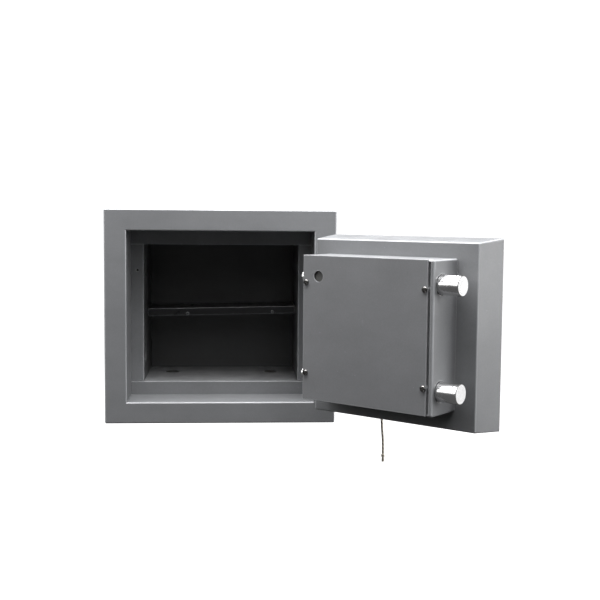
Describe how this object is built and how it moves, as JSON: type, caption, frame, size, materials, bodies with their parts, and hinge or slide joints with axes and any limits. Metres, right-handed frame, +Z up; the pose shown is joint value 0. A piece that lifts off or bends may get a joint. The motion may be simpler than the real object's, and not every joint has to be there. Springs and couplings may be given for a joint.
{
  "type": "wall safe",
  "caption": "Steel wall safe with a filled body, a thick swinging door with round locking bolts and a lock box, a key with a string in the lock and a shelf inside.",
  "frame": {"origin": "on the underside of the body, midway between the two floor anchor holes", "axes": "+X to the right of someone facing the safe, +Y from the front into the wall, +Z up"},
  "size_m": [0.6253, 0.647, 0.421],
  "materials": {
    "grey_paint": "satin grey enamel",
    "inner_paint": "satin grey enamel, a little duller",
    "barrier_filling": "cast barrier mix",
    "bright_chrome": "polished",
    "machined_steel": "machined",
    "black_screw": "blackened, worn bright at the rims",
    "relocker_steel": "dark grey, dull",
    "satin_chrome": "satin",
    "key_nickel": "worn nickel plate",
    "beige_string": "twisted"
  },
  "bodies": {
    "safe": {"anchor_sleeve_left": "machined_steel", "anchor_sleeve_right": "machined_steel", "back_plate": "grey_paint", "body_filling": "barrier_filling", "casing_bottom": "grey_paint", "casing_left": "grey_paint", "casing_right": "grey_paint", "casing_top": "grey_paint", "front_frame": "grey_paint", "hinge_leaf_lower": "grey_paint", "hinge_leaf_upper": "grey_paint", "jamb_bottom": "grey_paint", "jamb_left": "grey_paint", "jamb_right": "grey_paint", "jamb_top": "grey_paint", "liner_back": "inner_paint", "liner_ceiling": "inner_paint", "liner_floor": "inner_paint", "liner_left": "inner_paint", "liner_right": "inner_paint", "recess_ceiling": "grey_paint", "recess_floor": "grey_paint", "recess_left": "grey_paint", "recess_right": "grey_paint", "shelf_ledge_left": "inner_paint", "shelf_ledge_right": "inner_paint"},
    "hinge_pins": {"hinge_pin_lower": "machined_steel", "hinge_pin_upper": "machined_steel"},
    "door": {"door_pan": "grey_paint", "door_front_plate": "machined_steel", "door_filling": "barrier_filling", "lock_box": "grey_paint", "cover_plate": "grey_paint", "cover_screw_1": "black_screw", "cover_screw_2": "black_screw", "cover_screw_3": "black_screw", "cover_screw_4": "black_screw", "bolt_guide_lower": "machined_steel", "bolt_guide_upper": "machined_steel", "dog_bolt_lower": "bright_chrome", "dog_bolt_upper": "bright_chrome", "relocker": "relocker_steel", "lock_case": "machined_steel", "lock_cap": "machined_steel", "tail_guide": "machined_steel", "hinge_arm_lower": "grey_paint", "hinge_arm_upper": "grey_paint", "key_escutcheon": "satin_chrome", "handle_bush": "satin_chrome"},
    "handle": {"handle": "satin_chrome", "handle_spindle": "machined_steel"},
    "boltwork": {"locking_bolt_lower": "bright_chrome", "locking_bolt_upper": "bright_chrome", "bolt_carriage": "machined_steel"},
    "key_string": {"string_loop": "beige_string", "key_string": "beige_string", "string_end_knot": "beige_string"},
    "key": {"key": "key_nickel"},
    "lock_bolt": {"lock_bolt": "machined_steel"},
    "shelf": {"shelf": "inner_paint"}
  },
  "joints": [
    {"name": "door_swing", "type": "hinge", "parent": "safe", "child": "hinge_pins", "pos_m": [0.189, -0.211, 0], "axis": [0, 0, 1], "range_deg": [-112, 22]},
    {"name": "door_seat", "type": "hinge", "parent": "hinge_pins", "child": "door", "pos_m": [0.189, -0.211, 0], "axis": [0, 0, 1], "range_deg": [-26, 0]},
    {"name": "handle_turn", "type": "hinge", "parent": "door", "child": "handle", "pos_m": [0.26823, -0.40546, 0.187], "axis": [-0.6691, -0.7431, 0], "range_deg": [0, 90]},
    {"name": "bolt_slide", "type": "slide", "parent": "door", "child": "boltwork", "axis": [-0.7431, 0.6691, 0], "range_m": [0, 0.0315]},
    {"name": "key_pull", "type": "slide", "parent": "door", "child": "key_string", "axis": [0.6691, 0.7431, 0], "range_m": [0, 0.075]},
    {"name": "key_turn", "type": "hinge", "parent": "key_string", "child": "key", "pos_m": [0.21078, -0.35374, 0.17], "axis": [-0.6691, -0.7431, 0], "range_deg": [0, 180]},
    {"name": "lock_bolt_slide", "type": "slide", "parent": "door", "child": "lock_bolt", "axis": [0, 0, 1], "range_m": [0, 0.012]},
    {"name": "shelf_lift", "type": "slide", "parent": "safe", "child": "shelf", "axis": [0, 0, 1], "range_m": [0, 0.1]}
  ],
  "couplings": [
    {"joint": "bolt_slide", "follows": "handle_turn", "m_per_rad": 0.02},
    {"joint": "key_turn", "follows": "lock_bolt_slide", "rad_per_m": 261.79}
  ]
}
